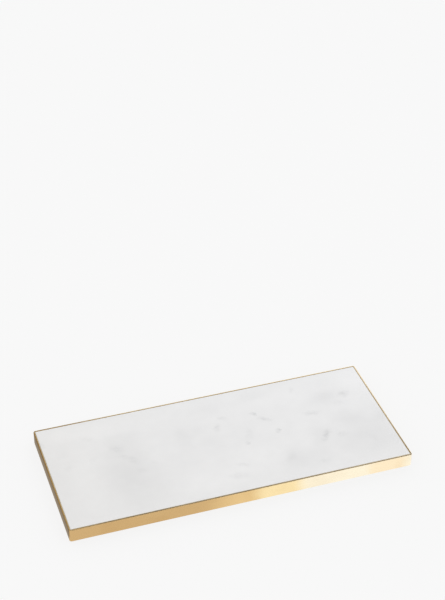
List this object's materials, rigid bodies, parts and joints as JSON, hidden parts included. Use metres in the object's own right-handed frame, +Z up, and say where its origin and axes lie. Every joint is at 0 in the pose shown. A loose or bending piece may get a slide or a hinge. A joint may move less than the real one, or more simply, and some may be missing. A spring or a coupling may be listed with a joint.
{
  "type": "vanity tray",
  "caption": "Flat rectangular vanity tray: a white marble slab with small rounded corners, framed flush by a thin brass edge band, standing on felt pads.",
  "frame": {"origin": "centre of the tray's footprint, on the surface that it stands on", "axes": "+Z up, +X along the tray's length to the right, -Y to the front long side, +Y to the rear long side with the band's joint"},
  "size_m": [0.3, 0.1316, 0.0133],
  "materials": {
    "marble": "polished white marble with faint grey clouds and short grey flecks",
    "brass": "polished brass with fine lengthwise polishing lines",
    "braze": "brazing filler, filed and polished flush, a little paler than the brass",
    "epoxy": "cured pale epoxy, slightly cloudy",
    "felt": "pressed pale grey wool felt",
    "adhesive_film": "double-sided adhesive film, cream"
  },
  "bodies": {
    "root": {"marble_slab": "marble", "brass_edge_band": "brass", "band_braze_joint": "braze", "slab_bond_line": "epoxy", "felt_pad_front_left": "felt", "felt_pad_front_right": "felt", "felt_pad_rear_left": "felt", "felt_pad_rear_right": "felt", "pad_adhesive_front_left": "adhesive_film", "pad_adhesive_front_right": "adhesive_film", "pad_adhesive_rear_left": "adhesive_film", "pad_adhesive_rear_right": "adhesive_film"}
  },
  "joints": []
}
